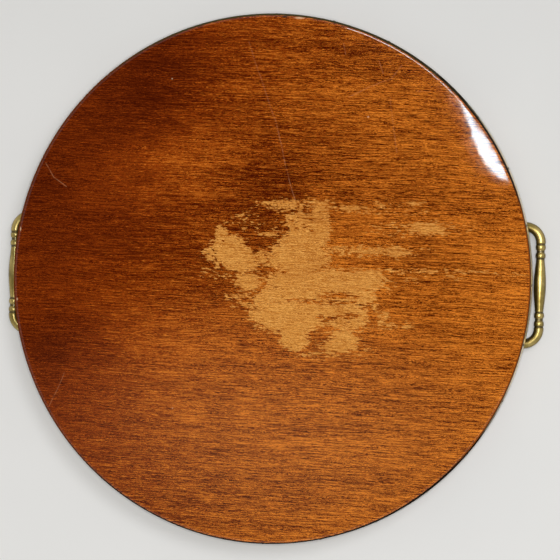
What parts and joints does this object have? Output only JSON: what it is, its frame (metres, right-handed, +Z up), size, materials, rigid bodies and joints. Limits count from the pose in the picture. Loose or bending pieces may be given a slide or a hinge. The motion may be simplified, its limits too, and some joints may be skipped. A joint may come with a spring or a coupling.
{
  "type": "serving tray",
  "caption": "Round mahogany-veneered serving tray bound in brass, with a low brass gallery and two cast D handles.",
  "frame": {"origin": "bottom centre: the middle of the circle on which the gallery's bead rests", "axes": "+Z up, square to the mahogany back, which faces up as the tray lies on its gallery; +X towards the right handle, along the line through both handles; +Y across it, towards the top of the picture"},
  "size_m": [0.4236, 0.407, 0.026],
  "materials": {
    "mahogany_face": "old French polish, glossy, worn through in the middle",
    "mahogany_floor": "French polish, glossy",
    "core_wood": "bare plywood",
    "aged_brass": "aged, olive-gold patina",
    "dark_brass": "tarnished dark, with dirt along the edge",
    "screw_brass": "dull brass screws and rivets"
  },
  "bodies": {
    "root": {"core_ply_1": "core_wood", "core_ply_2": "core_wood", "core_ply_3": "core_wood", "face_veneer": "mahogany_face", "inner_veneer": "mahogany_floor", "edge_band": "dark_brass", "edge_band_pins": "dark_brass", "gallery_wall": "aged_brass", "gallery_bead": "aged_brass", "gallery_seam_plate": "aged_brass", "gallery_seam_rivets": "screw_brass", "gallery_flange_screws": "screw_brass", "right_handle": "aged_brass", "left_handle": "aged_brass", "right_upper_saddle": "aged_brass", "right_lower_saddle": "aged_brass", "left_upper_saddle": "aged_brass", "left_lower_saddle": "aged_brass", "right_upper_washer": "screw_brass", "right_lower_washer": "screw_brass", "left_upper_washer": "screw_brass", "left_lower_washer": "screw_brass", "right_upper_screw": "screw_brass", "right_lower_screw": "screw_brass", "left_upper_screw": "screw_brass", "left_lower_screw": "screw_brass"}
  },
  "joints": []
}
